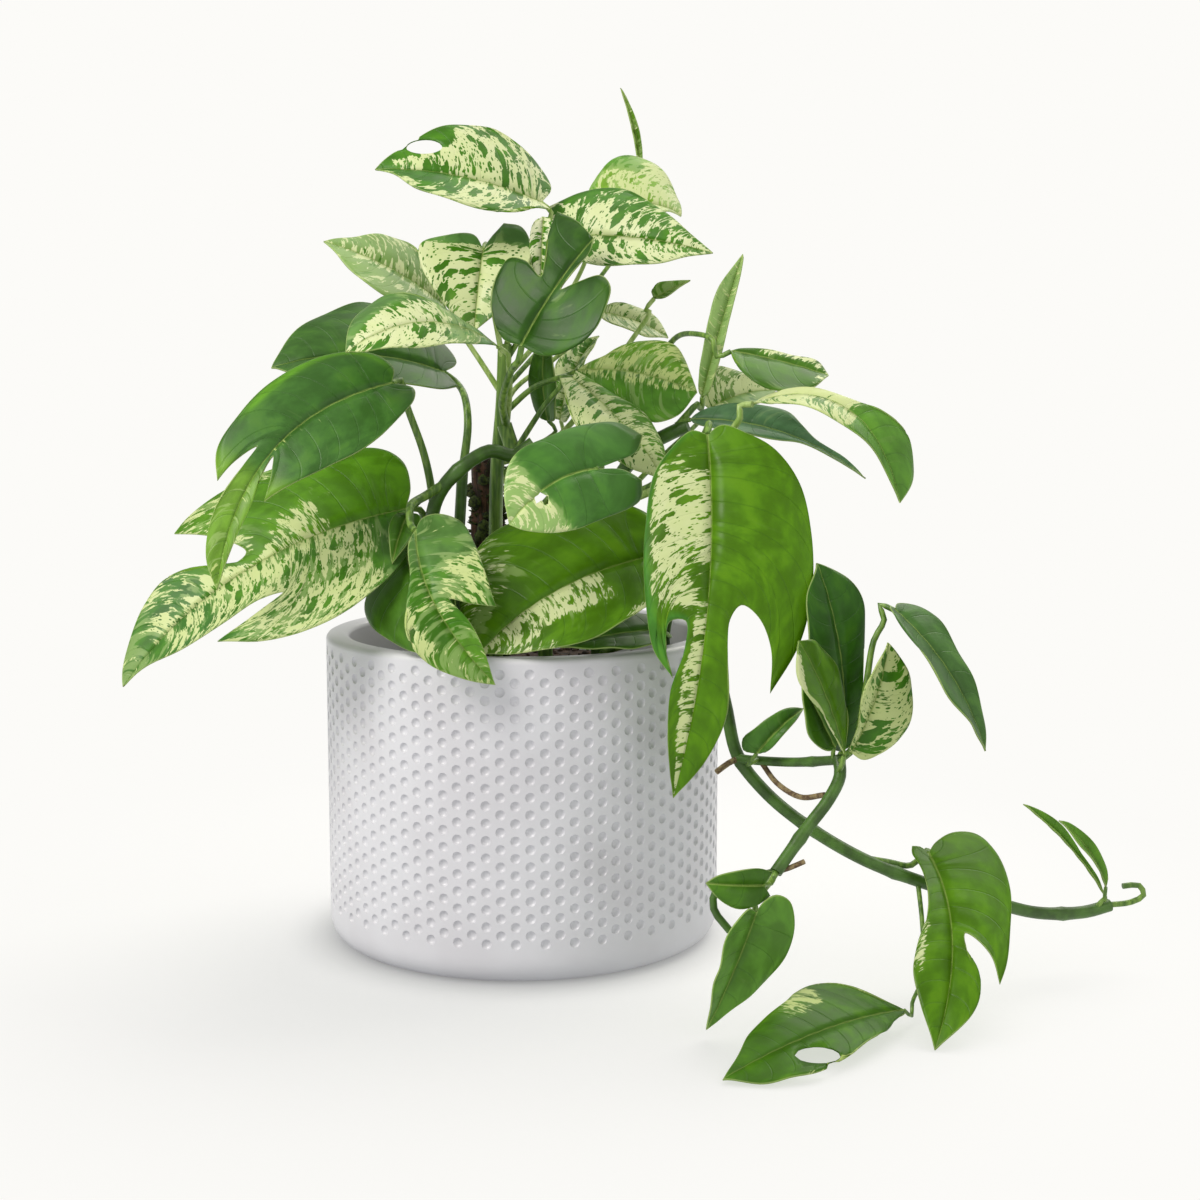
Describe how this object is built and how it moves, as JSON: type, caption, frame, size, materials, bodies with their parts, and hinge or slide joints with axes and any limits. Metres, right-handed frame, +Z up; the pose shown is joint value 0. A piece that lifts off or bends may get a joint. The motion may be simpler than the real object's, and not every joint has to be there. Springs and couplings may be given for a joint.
{
  "type": "potted marble king pothos",
  "caption": "Trailing houseplant with broad cream-marbled and split green leaves in a straight-walled ceramic cover pot with round dimples.",
  "frame": {"origin": "centre of the pot's flat foot, on the surface that the pot stands on", "axes": "+Z up, -Y towards the front, +X towards the trailing vine at the right of the front view"},
  "size_m": [0.4188, 0.2766, 0.372],
  "materials": {
    "glazed_ceramic": "satin glaze over fired clay, pressed with round dimples",
    "potting_soil": "loose dark potting mix",
    "moss_and_bark": "rough bark with tufts of dry moss",
    "stem_green": "smooth green stem, satin",
    "leaf_dark": "glossy dark green leaf with faint veins",
    "leaf_green": "glossy bright green leaf, some with a cream part",
    "leaf_marbled": "green leaf marbled with cream along its veins"
  },
  "bodies": {
    "root": {"pot": "glazed_ceramic", "soil": "potting_soil", "moss_pole": "moss_and_bark", "stem_middle": "stem_green", "stem_front": "stem_green", "stem_right": "stem_green", "stem_arching": "stem_green", "stem_short": "stem_green", "trailing_vine": "stem_green", "leaf_top_left": "leaf_marbled", "leaf_top_right": "leaf_marbled", "leaf_top_pale": "leaf_marbled", "leaf_spear": "leaf_green", "leaf_top_folded": "leaf_marbled", "leaf_heart": "leaf_dark", "leaf_left_high": "leaf_marbled", "leaf_left_veined": "leaf_marbled", "leaf_left_marbled": "leaf_marbled", "leaf_left_dark": "leaf_dark", "leaf_left_cut": "leaf_dark", "leaf_left_long": "leaf_marbled", "leaf_left_small": "leaf_dark", "leaf_rim_dark": "leaf_dark", "leaf_rim_cut": "leaf_marbled", "leaf_centre_round": "leaf_dark", "leaf_centre_wide": "leaf_green", "leaf_low_dark": "leaf_dark", "leaf_big_cut": "leaf_green", "leaf_mid_upper": "leaf_marbled", "leaf_mid_lower": "leaf_marbled", "leaf_centre_back": "leaf_dark", "leaf_mid_back": "leaf_marbled", "leaf_back_pale": "leaf_marbled", "leaf_edge_on": "leaf_green", "leaf_right_flag": "leaf_dark", "leaf_right_back": "leaf_marbled", "leaf_right_tail": "leaf_dark", "leaf_right_upright": "leaf_green", "leaf_right_arch": "leaf_marbled", "leaf_hang_dark": "leaf_dark", "leaf_hang_light": "leaf_green", "leaf_hang_shade": "leaf_dark", "leaf_hang_marbled": "leaf_marbled", "leaf_hang_far": "leaf_dark", "leaf_hang_small": "leaf_green", "leaf_trail_fold": "leaf_dark", "leaf_trail_flap": "leaf_dark", "leaf_trail_cut": "leaf_green", "leaf_floor": "leaf_green", "leaf_young_thin": "leaf_green", "leaf_young_wide": "leaf_green"}
  },
  "joints": []
}
